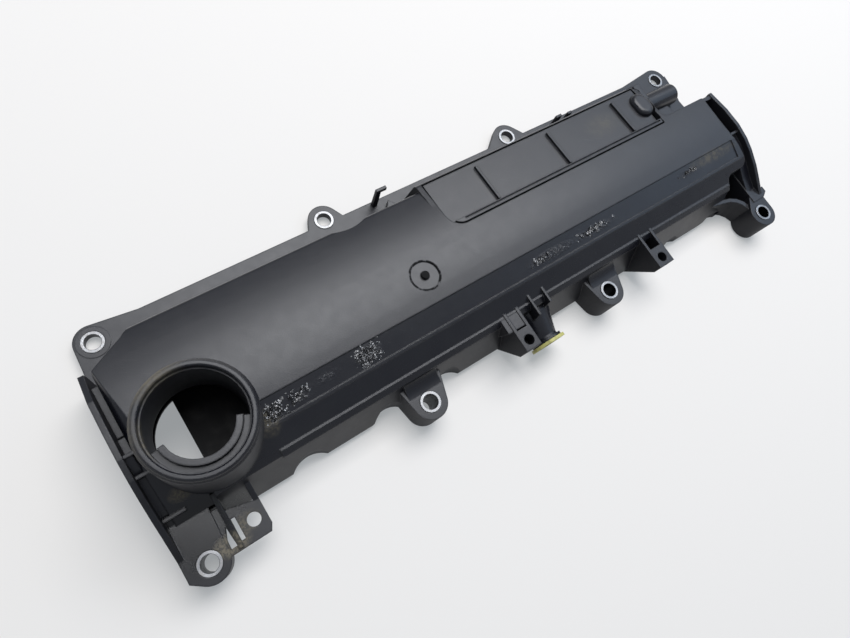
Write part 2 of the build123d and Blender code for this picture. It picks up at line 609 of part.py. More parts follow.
def neck_outer():
    """Outside of the filler neck: a straight foot, a slight taper and a bevelled rim."""
    band_foot, taper_top = RIM_BAND
    return turned_z(NECK_X, NECK_Y, (
        (0, NECK_FOOT_Z), (NECK_FOOT_R, NECK_FOOT_Z), (NECK_FOOT_R, CROWN[1] - 2.0),
        (RIM_R + RIM_BEVEL, NECK_TOP - taper_top), (RIM_R, NECK_TOP - band_foot),
        (RIM_R, NECK_TOP - RIM_BEVEL), (RIM_R - RIM_BEVEL, NECK_TOP), (0, NECK_TOP),
    ))


def neck_bore():
    """Bore of the filler neck, with its wider mouth."""
    top = NECK_TOP + 0.001
    return turned_z(NECK_X, NECK_Y, (
        (0, NECK_FOOT_Z), (NECK_BORE_R, NECK_FOOT_Z), (NECK_BORE_R, NECK_TOP - MOUTH_DEEP),
        (MOUTH_R, NECK_TOP - MOUTH_DEEP), (MOUTH_R, NECK_TOP - MOUTH_BEVEL),
        (MOUTH_R + MOUTH_BEVEL, top), (0, top),
    ))


def neck_lug():
    """Locking lug inside the neck, with a lip along its inner edge."""
    root_r = NECK_BORE_R + WALL / 2
    ring = (
        (LUG_R, LUG_TOP - LUG_THICK), (root_r, LUG_TOP - LUG_THICK), (root_r, LUG_TOP), (LUG_LIP_R, LUG_TOP),
        (LUG_LIP_R, LUG_TOP + LUG_LIP_HIGH), (LUG_R, LUG_TOP + LUG_LIP_HIGH),
    )
    return turned_z(NECK_X, NECK_Y, ring, LUG_TURN, LUG_ARC)


def dome_plan():
    y0, y1 = DOME_Y
    return Pos(DOME_X, (y0 + y1) / 2) * SlotOverall(y1 - y0, 2 * DOME_R, rotation=90)


def lid_plan(grow):
    """Plan of the separator lid, grown all round by grow."""
    outline = Polyline(
        (LID_LEFT, LID_FRONT_Y), (LID_RIGHT, LID_FRONT_Y), (LID_RIGHT, LID_BACK_Y), (LID_LEFT, LID_BACK_Y),
        close=True,
    )
    face = make_face(outline)
    corner = face.vertices().sort_by_distance((LID_LEFT, LID_FRONT_Y, 0))[0]
    face = fillet(corner, LID_CORNER_R) + dome_plan()
    return offset(face, amount=grow, kind=Kind.ARC) if grow else face


def lid_layer(face, below, above):
    """The part of a plan face between two offsets from the lid's sunk floor."""
    rise = (LID_FLOOR_FRONT - LID_FLOOR_BACK) / (LID_BACK_Y - LID_FRONT_Y)
    y0, y1 = LID_FRONT_Y - 10.0, LID_BACK_Y + 10.0
    z0 = LID_FLOOR_FRONT + 10.0 * rise
    z1 = LID_FLOOR_BACK - 10.0 * rise
    section = ((y0, z0 - below), (y0, z0 + above), (y1, z1 + above), (y1, z1 - below))
    return bar(section, LID_LEFT - 20.0, LID_RIGHT + 20.0) & plan(face, 0.0, HIGH)


def make_band():
    """The sunk label band and the bead along its lower edge, as a cut and an addition."""
    (y0, z0), (y1, z1) = CREST, BAND_TOP
    y0 += BEAD_WIDE
    z0 = deck_z(y0)
    high = 9.0
    recess = ((y0, z0 - BAND_SUNK), (y0, z0 + high), (y1, z1 + high), (y1, z1 - BAND_SUNK))
    (yl, zl), (ys, zs) = SHOULDER_LOW, SHOULDER
    ledge = (
        (yl - 1.1, zl - LEDGE_FOOT), (yl - 0.9, zl), (ys - 0.9, zs + LEDGE_PROUD), (ys + 1.0, zs),
        (ys + 1.0, zl - LEDGE_FOOT),
    )
    yc, zc = CREST
    bead = ((yc - 0.6, zc - 0.9), (yc - 0.2, zc + BEAD_PROUD), (y0, z0 + BEAD_PROUD), (y0, z0 - 1.5))
    return bar(recess, BAND_LEFT, BAND_RIGHT), [bar(ledge, *LEDGE_X), bar(bead, BAND_LEFT, BAND_RIGHT + 2.0)]


def make_body():
    """The moulding: hull, neck, flange and every form that stands on them, then its hollows and bores."""
    body = hull(0.0, FLANGE_Z) + neck_outer()
    body += make_flange()
    spout = make_spout()
    blocks, block_holes = make_blocks()
    band, beads = make_band()
    body -= band
    for solid in make_bosses() + make_ends() + make_outlet() + blocks + make_shelf() + make_clips() + beads:
        body += solid
    seat = lid_layer(lid_plan(WALL), LID_THICK + LID_SEAT, 0.0) & hull(0.0, FLANGE_Z)
    body += rod(*BACK_BOLTS[0], RING_PAD_R, FLANGE_Z, FLANGE_TOP + RING_PAD_PROUD)
    body -= hull(WALL, FLANGE_TOP)
    for room in (end_block(WALL), low_roof(WALL), barrel(WALL)):
        body -= room
    body += seat
    for solid in spout:
        body += solid
    body -= lid_layer(lid_plan(LID_GAP), LID_THICK, HIGH)
    wide, y0, y1 = LID_SLOT
    body -= lid_layer(Pos(LID_RIGHT + wide / 2, (y0 + y1) / 2) * Rectangle(wide, y1 - y0), LID_THICK, HIGH)
    x, y, long, wide = VENT
    body -= lid_layer(Pos(x, y) * SlotOverall(long, wide, rotation=VENT_TURN), LID_THICK + 2.0, HIGH)
    body -= lid_layer(lid_plan(-LID_SEAT), LID_THICK + LID_SEAT + 1.0, HIGH)
    body -= mouth()
    body -= plan(seal_face(GROOVE_WIDE / 2) - seal_face(-GROOVE_WIDE / 2), 0.0, FLANGE_Z + GROOVE_DEEP)
    body -= neck_bore()
    body += neck_lug()
    start, end = SPOUT_ROOT_Y + SPOUT_BORE_BACK, 2 * FRONT_Y
    body -= turned_y(SPOUT_X, SPOUT_Z, ((0, start), (SPOUT_BORE_R, start), (SPOUT_BORE_R, end), (0, end)))
    for x, y in BACK_BOLTS + FRONT_BOLTS:
        body -= rod(x, y, SLEEVE_R, 0.0, HIGH)
    for hole in block_holes:
        body -= hole
    body -= rod(GATE_X, GATE_Y, GATE_R, deck_z(GATE_Y) - GATE_SUNK, HIGH)
    body += rod(GATE_X, GATE_Y, GATE_NUB_R, deck_z(GATE_Y) - 1.0, deck_z(GATE_Y) + GATE_NUB_PROUD)
    for x, y in POSTS:
        body += rod(x, y, POST_R, BAFFLE_Z + BAFFLE_THICK, deck_z(y) - WALL / 2)
    return body


def make_lid():
    """Separator lid: a sunk floor, a rim along its front, three gussets and a domed passage."""
    lid = lid_layer(lid_plan(0.0), LID_THICK, 0.0)
    rim_face = lid_plan(0.0) & Rectangle(600.0, 2 * (LID_FRONT_Y + LID_RIM_WIDE))
    lid += plan(rim_face, LID_FLOOR_FRONT - 1.0, deck_z(LID_FRONT_Y))
    back, wide, deep = RIM_GROOVE
    y0 = LID_FRONT_Y + back
    lid -= box(LID_LEFT + LID_CORNER_R, LID_RIGHT - back, y0, y0 + wide, deck_z(LID_FRONT_Y) - deep, HIGH)
    y0, y1 = LID_RIB_Y
    for x in LID_RIBS_X:
        foot = Pos(x, (y0 + y1) / 2) * Rectangle(LID_RIB_WIDE, y1 - y0)
        lid += lid_layer(foot, LID_THICK / 2, LID_RIB_PROUD)
    dome = lid_layer(dome_plan(), 1.0, DOME_PROUD)
    dome = fillet(dome.faces().sort_by(Axis.Z)[-1].edges(), DOME_ROUND)
    return lid + dome


def make_baffle():
    """Flat baffle that follows the hull's plan, with an opening under the filler neck."""
    in_wall = WALL + BAFFLE_CLEAR
    left, right = HULL_LEFT + in_wall, HULL_RIGHT - in_wall
    pocket, step = POCKET_X - in_wall, STEP_X - in_wall
    outline = (
        (left, BAFFLE_FRONT_Y), (pocket, BAFFLE_FRONT_Y), (pocket, POCKET_Y + in_wall),
        (right, POCKET_Y + in_wall), (right, STEP_Y - in_wall), (step, STEP_Y - in_wall),
        (step, BAFFLE_BACK_Y), (BAFFLE_NOTCH_X, BAFFLE_BACK_Y), (left, NOTCH[2][1] - 2 * in_wall),
    )
    sheet = slab(outline, BAFFLE_Z, BAFFLE_Z + BAFFLE_THICK)
    side = box(2 * PLATE_LEFT, BAFFLE_EDGE_X, 2 * FRONT_Y, 2 * BACK_EDGE_Y, 0.0, HIGH)
    return sheet - (rod(NECK_X, FILLER_Y, FILLER_R, 0.0, HIGH) & side)


def make_gasket():
    """Perimeter gasket: a bar that fills the groove and a narrower lip that stands proud."""
    top = FLANGE_Z + GROOVE_DEEP
    bar_part = plan(seal_face(GASKET_WIDE / 2) - seal_face(-GASKET_WIDE / 2), FLANGE_Z, top)
    lip = plan(seal_face(GASKET_LIP / 2) - seal_face(-GASKET_LIP / 2), 0.0, FLANGE_Z)
    return bar_part + lip


def make_spout_seal():
    """Flat ring that fits on the spout's spigot and lies against its flange."""
    back = SPOUT_FLANGE_Y - SPOUT_FLANGE_THICK
    front = back - SEAL_THICK
    return turned_y(SPOUT_X, SPOUT_Z, ((SPIGOT_R, back), (SEAL_R, back), (SEAL_R, front), (SPIGOT_R, front)))


def make_sleeve(x, y, top):
    """Steel sleeve that lines a bolt hole."""
    return rod(x, y, SLEEVE_R, FLANGE_Z, top) - rod(x, y, SLEEVE_BORE_R, 0.0, HIGH)


def main():
    os.makedirs("parts", exist_ok=True)
    nodes = {
        "cover_body": make_body(),
        "separator_lid": make_lid(),
        "baffle_plate": make_baffle(),
        "perimeter_gasket": make_gasket(),
        "spout_seal": make_spout_seal(),
    }
    for n, (x, y) in enumerate(BACK_BOLTS):
        nodes[f"back_sleeve_{n + 1}"] = make_sleeve(x, y, FLANGE_TOP + SLEEVE_PROUD)
    for n, (x, y) in enumerate(FRONT_BOLTS):
        nodes[f"front_sleeve_{n + 1}"] = make_sleeve(x, y, PAD_TOP + SLEEVE_PROUD)
    for name, solid in nodes.items():
        export_step(solid, f"parts/{name}.step")


if __name__ == "__main__":
    main()
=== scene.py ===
"""Finishes, torn film scraps and stage for a moulded engine valve cover, laid out as an add-on."""
import math

import bmesh
import bpy
from bpy.props import FloatProperty, FloatVectorProperty, PointerProperty
from mathutils import Matrix, Vector, noise


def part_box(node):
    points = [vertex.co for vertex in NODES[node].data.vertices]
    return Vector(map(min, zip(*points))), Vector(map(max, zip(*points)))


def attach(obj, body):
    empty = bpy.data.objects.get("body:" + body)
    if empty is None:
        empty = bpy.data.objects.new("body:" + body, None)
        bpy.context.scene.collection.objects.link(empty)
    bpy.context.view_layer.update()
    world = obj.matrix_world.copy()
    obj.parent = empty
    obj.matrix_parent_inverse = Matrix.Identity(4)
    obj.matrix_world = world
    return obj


bl_info = {
    "name": "Valve cover finishes",
    "version": (1, 0, 0),
    "blender": (4, 5, 0),
    "location": "3D View > Sidebar > Valve cover",
    "description": "Finishes, film scraps and stage for a moulded engine valve cover",
    "category": "Object",
}

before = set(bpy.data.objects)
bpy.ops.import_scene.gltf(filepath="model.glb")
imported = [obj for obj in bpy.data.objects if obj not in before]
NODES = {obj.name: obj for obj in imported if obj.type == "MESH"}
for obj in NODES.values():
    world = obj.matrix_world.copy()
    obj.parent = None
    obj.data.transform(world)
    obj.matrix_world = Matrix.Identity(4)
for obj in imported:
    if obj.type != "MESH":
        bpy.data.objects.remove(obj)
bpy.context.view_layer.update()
BODY = "root"
MM = 0.001
TO_MM = 1000.0
SHADED_EDGE_SAMPLES = 4


def colour(name, text, value):
    limits = {"size": 3, "min": 0.0, "max": 1.0}
    return FloatVectorProperty(name=name, description=text, default=value, subtype="COLOR", **limits)


def length(name, text, value):
    return FloatProperty(name=name, description=text, default=value, min=0.0, unit="LENGTH")


def power(name, text, value):
    return FloatProperty(name=name, description=text, default=value, min=0.0, unit="POWER")


def share(name, text, value):
    return FloatProperty(name=name, description=text, default=value, min=0.0, max=1.0, subtype="FACTOR")


# ---- sizes and colours a user would change ----
class MouldingLook(bpy.types.PropertyGroup):
    """Charcoal moulding of the cover and its lid."""
    base: colour("Moulding", "Colour of clean moulding", (0.0044, 0.0048, 0.0078))
    # The pale colour also paints the highlight along the edges.
    pale: colour("Rubbed moulding", "Colour of rubbed and dusty moulding", (0.075, 0.075, 0.074))
    soil: colour("Soil", "Colour of dried oily soil", (0.13, 0.113, 0.078))
    roughness: share("Roughness", "Roughness of clean moulding that lies flat", 0.36)
    sloped_roughness: share("Sloped roughness", "Roughness of clean moulding that slopes", 0.24)
    mottle: share("Mottle", "Strength of the slow change of tone", 0.12)
    # This also sets how strong the painted highlight along the edges is.
    edge_rub_and_highlight: share("Edge rub and highlight", "How pale the rubbed edges are", 0.6)
    hairlines: share("Hairlines", "Strength of the hairline scratches", 0.15)
    cover_dust: share("Dust on the cover", "How much dust lies on the cover", 0.06)
    lid_dust: share("Dust on the lid", "How much dust lies on the separator lid", 0.08)
    grain: length("Grain", "Width of one grain of the moulded texture", 0.00055)
    soft_edge: length("Soft edge", "Radius that edges are shaded to", 0.0008)


class TrimLook(bpy.types.PropertyGroup):
    """Steel sleeves, rubber seals, baffle and torn film."""
    steel: colour("Steel", "Colour of the sleeves", (0.22, 0.223, 0.228))
    # Each sleeve's top is painted dark across this width, a painted shade that stands for its shaded bore.
    bore_shade_width: length("Bore shade width", "Bore of the sleeves, dark with oil inside", 0.0079)
    seal: colour("Spout seal", "Colour of the spout's seal", (0.47, 0.45, 0.15))
    gasket: colour("Gasket", "Colour of the perimeter gasket", (0.018, 0.018, 0.02))
    baffle: colour("Baffle", "Colour of the baffle", (0.003, 0.003, 0.0035))
    film: colour("Film", "Colour of the torn film's pale side", (0.6, 0.6, 0.61))
    film_facet: length("Film facet", "Width of one facet of the crumpled film", 0.00055)
    film_rise: length("Film height", "Height that the crumpled film stands to", 0.0012)
    film_top: length("Film top", "Height above which no film lies", 0.04)
    film_thick: length("Film thickness", "Thickness of the film", 0.00006)


class StageLook(bpy.types.PropertyGroup):
    """Floor, lamps and camera."""
    floor: colour("Floor", "Colour of the floor", (0.74, 0.7, 0.66))
    glow: share("Floor glow", "How far the floor shows its own colour in place of its light", 0.34)
    main_power: power("Main lamp", "Power of the main lamp", 38.8)
    side_power: power("Side lamp", "Power of the side lamp", 15.5)
    lens: FloatProperty(name="Lens", description="Focal length in mm", default=25.89, min=1.0)


# ---- node graph helpers ----
def feed(tree, node, inputs):
    """Sets each socket, by name or number, to a value or links it to the socket that feeds it."""
    for key, value in inputs.items():
        if isinstance(value, bpy.types.NodeSocket):
            tree.links.new(value, node.inputs[key])
        else:
            node.inputs[key].default_value = value


def put(tree, kind, inputs=None, **settings):
    """Adds one shader node with its settings and inputs."""
    made = tree.nodes.new("ShaderNode" + kind)
    for key, value in settings.items():
        setattr(made, key, value)
    feed(tree, made, inputs or {})
    return made


def calc(tree, operation, a, b=0.0, clamp=False):
    return put(tree, "Math", {0: a, 1: b}, operation=operation, use_clamp=clamp).outputs[0]


def vector(tree, operation, a, b):
    return put(tree, "VectorMath", {0: a, 1: b}, operation=operation).outputs[0]


def more(tree, value, mask, amount, clamp=False):
    """Adds an amount to a value where a mask is."""
    return calc(tree, "ADD", value, calc(tree, "MULTIPLY", mask, amount), clamp)


def distance(tree, away):
    return put(tree, "VectorMath", {0: away}, operation="LENGTH").outputs["Value"]


def facing_up(tree):
    """How far the surface looks up, from minus one to one."""
    return put(tree, "SeparateXYZ", {0: put(tree, "NewGeometry").outputs["Normal"]}).outputs["Z"]


def soft_normal(tree, radius):
    """Normal that is rounded over edges."""
    return put(tree, "Bevel", {"Radius": radius}, samples=SHADED_EDGE_SAMPLES).outputs[0]


def bumped(tree, height, strength, rise, under=None):
    """Normal with a bump, laid over another normal where there is one."""
    inputs = {"Strength": strength, "Distance": rise, "Height": height}
    if under:
        inputs["Normal"] = under
    return put(tree, "Bump", inputs).outputs[0]


def opaque(tint):
    return (*tint, 1.0)


def blend(tree, factor, a, b):
    return put(tree, "Mix", {0: factor, 6: a, 7: b}, data_type="RGBA").outputs[2]


def paint(tree, mask, tone, tint):
    """Lays a tint over a tone where a mask is."""
    return blend(tree, mask, tone, opaque(tint))


def ramp(tree, value, low, high, out_low=0.0, out_high=1.0):
    inputs = {0: value, 1: low, 2: high, 3: out_low, 4: out_high}
    return put(tree, "MapRange", inputs, interpolation_type="SMOOTHSTEP").outputs[0]


def place(tree, scale=(1.0, 1.0, 1.0), turn=(0.0, 0.0, 0.0)):
    """Object coordinates in millimetres, turned and scaled."""
    here = put(tree, "TexCoord").outputs["Object"]
    size = tuple(TO_MM * s for s in scale)
    return put(tree, "Mapping", {"Vector": here, "Rotation": turn, "Scale": size}).outputs[0]


def cloud(tree, coords, scale, detail=3.0, rough=0.55):
    inputs = {"Vector": coords, "Scale": scale, "Detail": detail, "Roughness": rough}
    return put(tree, "TexNoise", inputs).outputs[0]


def seen_directly(tree):
    """One for a ray from the camera, a mirror or glass, and nought for one that lights something."""
    path = put(tree, "LightPath").outputs
    seen = calc(tree, "MAXIMUM", path["Is Camera Ray"], path["Is Glossy Ray"])
    return calc(tree, "MAXIMUM", seen, path["Is Transmission Ray"])


def new_group(name, inputs, outputs):
    tree = bpy.data.node_groups.new(name, "ShaderNodeTree")
    for label, kind, value in inputs:
        socket = tree.interface.new_socket(label, in_out="INPUT", socket_type="NodeSocket" + kind)
        socket.default_value = value
    for label, kind in outputs:
        tree.interface.new_socket(label, in_out="OUTPUT", socket_type="NodeSocket" + kind)
    entry = tree.nodes.new("NodeGroupInput")
    leave = tree.nodes.new("NodeGroupOutput")
    return tree, entry.outputs, leave.inputs


def use(tree, name, inputs):
    """Places a shared group, built once, in a tree."""
    made = tree.nodes.new("ShaderNodeGroup")
    made.node_tree = bpy.data.node_groups[name]
    feed(tree, made, inputs)
    return made.outputs


# ---- shared effects ----
def build_grain():
    """Fine spark-eroded grain with a slow swell under it."""
    tree, given, out = new_group("Moulded grain", [("Grain mm", "Float", 0.5)], [("Height", "Float")])
    coords = place(tree)
    per_grain = calc(tree, "DIVIDE", 1.0, given["Grain mm"])
    fine = put(tree, "VectorMath", {0: coords, 3: per_grain}, operation="SCALE")
    pits = cloud(tree, fine.outputs[0], 1.0, 2.0, 0.5)
    swell = cloud(tree, coords, 0.06, 2.0, 0.5)
    tree.links.new(calc(tree, "ADD", calc(tree, "MULTIPLY", pits, 0.7), swell), out["Height"])


def build_spot():
    """Soft-edged patch round a point, broken up by noise."""
    inputs = [
        ("Centre", "Vector", (0.0, 0.0, 0.0)), ("Reach", "Vector", (10.0, 10.0, 10.0)),
        ("Soft", "Float", 0.6), ("Broken", "Float", 0.5), ("Break mm", "Float", 3.0),
    ]
    tree, given, out = new_group("Patch", inputs, [("Mask", "Float")])
    coords = place(tree)
    away = vector(tree, "DIVIDE", vector(tree, "SUBTRACT", coords, given["Centre"]), given["Reach"])
    inner = calc(tree, "SUBTRACT", 1.0, given["Soft"])
    mask = put(tree, "MapRange", {0: distance(tree, away), 1: 1.0, 2: inner}).outputs[0]
    broken = cloud(tree, coords, calc(tree, "DIVIDE", 1.0, given["Break mm"]), 4.0, 0.6)
    gate = ramp(tree, broken, 0.42, 0.6)
    held = calc(tree, "ADD", calc(tree, "MULTIPLY", gate, given["Broken"]),
                calc(tree, "SUBTRACT", 1.0, given["Broken"]))
    tree.links.new(calc(tree, "MULTIPLY", mask, held, True), out["Mask"])


def build_dust():
    """Thin dust that lies where the surface looks up."""
    tree, given, out = new_group("Lying dust", [("Amount", "Float", 0.5)], [("Mask", "Float")])
    level = ramp(tree, facing_up(tree), 0.3, 1.0)
    coords = place(tree)
    patches = ramp(tree, cloud(tree, coords, 0.03, 5.0, 0.65), 0.35, 0.7)
    specks = ramp(tree, cloud(tree, coords, 1.1, 2.0, 0.6), 0.56, 0.7)
    both = more(tree, calc(tree, "MULTIPLY", patches, 0.6), specks, 0.5)
    mask = calc(tree, "MULTIPLY", calc(tree, "MULTIPLY", both, level), given["Amount"], True)
    tree.links.new(mask, out["Mask"])


def build_edge():
    """Rubbed edges with a painted highlight, found by how far the rounded normal leaves the face's own."""
    tree, given, out = new_group("Rubbed edge", [("Width", "Float", 0.0006)], [("Mask", "Float")])
    soft = soft_normal(tree, given["Width"])
    hard = put(tree, "NewGeometry").outputs["Normal"]
    same = put(tree, "VectorMath", {0: soft, 1: hard}, operation="DOT_PRODUCT").outputs["Value"]
    turned = ramp(tree, same, 0.98, 0.8)
    broken = ramp(tree, cloud(tree, place(tree), 0.35, 3.0), 0.4, 0.65)
    tree.links.new(calc(tree, "MULTIPLY", turned, broken, True), out["Mask"])


def build_scratches():
    """A few long hairline scratches along one direction."""
    inputs = [("Turn", "Vector", (0.0, 0.0, 0.3)), ("Amount", "Float", 0.5)]
    tree, given, out = new_group("Hairlines", inputs, [("Mask", "Float")])
    here = put(tree, "TexCoord").outputs["Object"]
    turned = put(tree, "Mapping", {"Vector": here, "Rotation": given["Turn"]}).outputs[0]
    drawn = vector(tree, "MULTIPLY", turned, (26.0, 1500.0, 1500.0))
    lines = ramp(tree, cloud(tree, drawn, 1.0, 1.0), 0.69, 0.74)
    where = ramp(tree, cloud(tree, place(tree), 0.02, 2.0), 0.5, 0.62)
    mask = calc(tree, "MULTIPLY", calc(tree, "MULTIPLY", lines, where), given["Amount"], True)
    tree.links.new(mask, out["Mask"])


def build_film_specks():
    """Crumbs of torn film: pale and dark specks and the height they stand at."""
    outputs = [("Pale", "Float"), ("Dark", "Float"), ("Height", "Float")]
    tree, given, out = new_group("Film crumbs", [("Mask", "Float", 0.0)], outputs)
    coords = place(tree, (0.75, 1.0, 1.0), (0.0, 0.0, 0.5))
    crumbs = cloud(tree, coords, 1.0, 4.0, 0.7)
    streaks = cloud(tree, place(tree, (0.3, 1.4, 1.4)), 1.0, 3.0, 0.6)
    pale = calc(tree, "MULTIPLY", ramp(tree, crumbs, 0.56, 0.66), ramp(tree, streaks, 0.4, 0.6))
    dark = ramp(tree, crumbs, 0.46, 0.36)
    tree.links.new(calc(tree, "MULTIPLY", pale, given["Mask"], True), out["Pale"])
    tree.links.new(calc(tree, "MULTIPLY", dark, given["Mask"], True), out["Dark"])
    tree.links.new(calc(tree, "MULTIPLY", crumbs, given["Mask"]), out["Height"])


def spots(tree, places):
    """The strongest of several patches, each (centre, reach, soft, broken, break size, strength)."""
    total = None
    for centre, reach, soft, broken, size, strength in places:
        values = {"Centre": centre, "Reach": reach, "Soft": soft, "Broken": broken, "Break mm": size}
        mask = calc(tree, "MULTIPLY", use(tree, "Patch", values)["Mask"], strength)
        total = mask if total is None else calc(tree, "MAXIMUM", total, mask)
    return total


def dirt_and_shade_ring(tree, centre, radius, wide):
    """Broken dark ring in a round groove, partly dirt and partly painted shade."""
    away = vector(tree, "MULTIPLY", vector(tree, "SUBTRACT", place(tree), centre), (1.0, 1.0, 0.0))
    off = calc(tree, "ABSOLUTE", calc(tree, "SUBTRACT", distance(tree, away), radius))
    broken = ramp(tree, cloud(tree, place(tree), 0.4, 3.0), 0.36, 0.5)
    return calc(tree, "MULTIPLY", ramp(tree, off, wide, wide / 3), broken)


def new_material(name):
    material = bpy.data.materials.new(name)
    material.use_nodes = True
    tree = material.node_tree
    return material, tree, tree.nodes["Principled BSDF"]


def assign(node, material):
    for slot in NODES[node].material_slots:
        slot.material = material


# ---- where soil, oil, painted shade and torn film lie, in millimetres ----
# Each patch has its centre, its reach, how soft and how broken it is, the size of its breaks and
# its strength.
SOIL = (
    ((-186.0, 8.0, 66.0), (19.0, 9.0, 4.0), 0.6, 0.5, 1.8, 0.8),
    ((-197.0, -8.0, 64.0), (5.0, 17.0, 5.0), 0.6, 0.6, 1.8, 0.6),
    ((-196.0, -30.0, 24.0), (7.0, 5.0, 6.0), 0.5, 0.6, 1.2, 1.0),
    ((-188.0, -61.0, 20.0), (10.0, 6.0, 7.0), 0.5, 0.75, 1.3, 1.0),
    ((-178.0, -56.0, 20.0), (7.0, 5.0, 6.0), 0.5, 0.8, 1.2, 0.8),
    ((-151.0, -24.0, 33.0), (7.0, 8.0, 8.0), 0.6, 0.7, 2.0, 0.6),
    ((160.0, -17.5, 37.0), (26.0, 4.5, 5.0), 0.7, 0.8, 2.4, 0.4),
)
LID_SOIL = (((106.0, 33.0, 36.0), (16.0, 10.0, 4.0), 0.8, 0.5, 5.0, 0.22),)
# Inside the filler neck and under it in the left bay, a black that is partly oil and partly painted shade in
# these hollows.
OIL_AND_SHADE = (
    ((-174.5, -14.0, 40.0), (19.5, 19.5, 27.0), 0.1, 0.0, 3.0, 1.0),
    ((-196.0, -46.0, 10.0), (34.0, 34.0, 18.0), 0.3, 0.1, 4.0, 1.0),
)
# The gate's nub and its groove are painted dark: partly stain, partly painted shade in the groove and the pit
# round the nub.
GATE_STAIN_AND_SHADE = (((-50.2, 0.0, 40.0), (2.8, 2.8, 3.0), 0.25, 0.0, 1.0, 1.0),)
GATE_CENTRE, GATE_RING, GATE_RING_WIDTH = (-50.2, 0.0, 0.0), 7.9, 0.9
FILM = (
    ((-147.5, -22.5, 36.0), (6.5, 4.5, 4.0), 0.5, 0.5, 2.0, 1.0),
    ((-133.0, -21.5, 36.0), (9.5, 4.0, 4.0), 0.7, 0.8, 3.0, 0.55),
    ((-118.0, -20.0, 36.5), (8.0, 2.6, 4.0), 0.7, 0.8, 2.0, 0.5),
    ((-96.0, -20.0, 36.5), (9.0, 5.2, 4.0), 0.5, 0.5, 2.5, 1.0),
    ((21.0, -21.5, 36.5), (20.0, 3.4, 4.0), 0.5, 0.6, 2.2, 0.75),
    ((54.0, -21.5, 36.5), (21.0, 3.2, 4.0), 0.5, 0.75, 2.6, 0.6),
    ((136.0, -19.5, 37.0), (15.0, 3.0, 4.0), 0.6, 0.85, 2.0, 0.35),
)
FILM_SEED = 5
FILM_JOLT = 0.35
FILM_CLEAR = 0.00004
ABOVE_ALL = 0.1
# Each scrap of film has its x and y, half its length, half its width and how torn it is.
SCRAPS = (
    (-146.0, -21.8, 6.0, 4.6, 0.44),
    (-134.5, -20.8, 8.5, 4.0, 0.5),
    (-96.0, -20.2, 8.0, 5.4, 0.42),
    (15.0, -21.4, 10.0, 2.8, 0.53),
    (55.0, -21.2, 16.0, 2.6, 0.55),
    (137.0, -19.5, 11.0, 2.2, 0.57),
)

# ---- tints and what each layer does to the roughness ----
# Black of the oil and of the painted shade in the neck and the left bay.
OIL_AND_SHADE_BLACK = (0.002, 0.002, 0.0022)
# Black of the gate's stain and of the painted shade in its groove.
STAIN_AND_SHADE_BLACK = (0.002, 0.002, 0.002)
CRUMB_BLACK = (0.004, 0.004, 0.005)
CRUMB_PALE = (0.36, 0.37, 0.38)
FILM_BLACK = (0.008, 0.008, 0.009)
BAFFLE_OIL = (0.007, 0.005, 0.003)
GASKET_SOIL = (0.05, 0.045, 0.04)
SEAL_SOIL = (0.12, 0.11, 0.05)
STEEL_STAIN = (0.34, 0.32, 0.3)
# Dark colour of the painted shade in the sleeves' bores.
BORE_SHADE = (0.035, 0.036, 0.04)
PATCHES_DULL, DUST_DULLS, STEEP_DULLS, SOIL_DULLS, STAIN_AND_SHADE_DULLS = 0.045, 0.2, 0.36, 0.3, 0.6
OIL_SHINES, CRUMBS_SHINE = 0.16, 0.2
TURNING_PITCH = 0.00022

# ---- the stage, in metres and degrees ----
LAMPS = (
    ("main lamp", (0.46, 0.54, 1.5), (1.64, 0.9), "main_power", (0.96, 0.97, 1.0)),
    ("side lamp", (1.95, -0.1, 1.5), (1.1, 2.2), "side_power", (0.55, 0.74, 1.0)),
)
FLOOR_HALF = 4.0
FLOOR_SEEN = (0.88, 0.925, 0.955)
ROOM_LIGHT, ROOM_LIGHT_POWER = (0.86, 0.92, 1.0), 0.2
ROOM_SEEN = (0.43, 0.455, 0.5)
CAMERA_SPOT = (-0.17197, -0.06771, 0.31461)
CAMERA_TURN, CAMERA_RISE, CAMERA_ROLL = -66.07, 66.56, 34.93
SENSOR_WIDTH = 36.0


def worn_tone(tree, look, dusty):
    """Tone of the moulding, mottled, dusty, rubbed pale and given a painted highlight at its edges, and
    scratched.
    """
    mottle = ramp(tree, cloud(tree, place(tree), 0.045, 5.0, 0.6), 0.3, 0.75)
    rubbed = tuple(0.75 * a + 0.25 * b for a, b in zip(look.base, look.pale))
    tone = paint(tree, calc(tree, "MULTIPLY", mottle, look.mottle), opaque(look.base), rubbed)
    tone = paint(tree, dusty, tone, look.pale)
    # Edges are painted pale: partly rubbed wear, partly a painted highlight.
    edge = use(tree, "Rubbed edge", {"Width": look.soft_edge})["Mask"]
    tone = paint(tree, calc(tree, "MULTIPLY", edge, look.edge_rub_and_highlight), tone, look.pale)
    lines = use(tree, "Hairlines", {"Turn": (0.0, 0.0, 0.55), "Amount": look.hairlines})["Mask"]
    return paint(tree, lines, tone, look.pale)


def worn_roughness(tree, look, dusty):
    """Roughness that changes in patches and with slope, and rises under dust."""
    patchy = ramp(tree, cloud(tree, place(tree), 0.17, 6.0, 0.7), 0.3, 0.7)
    up = facing_up(tree)
    rough = more(tree, ramp(tree, up, 0.8, 0.97, look.sloped_roughness, look.roughness), patchy, PATCHES_DULL)
    rough = calc(tree, "ADD", rough, ramp(tree, up, 0.5, 0.2, 0.0, STEEP_DULLS))
    return more(tree, rough, dusty, DUST_DULLS)


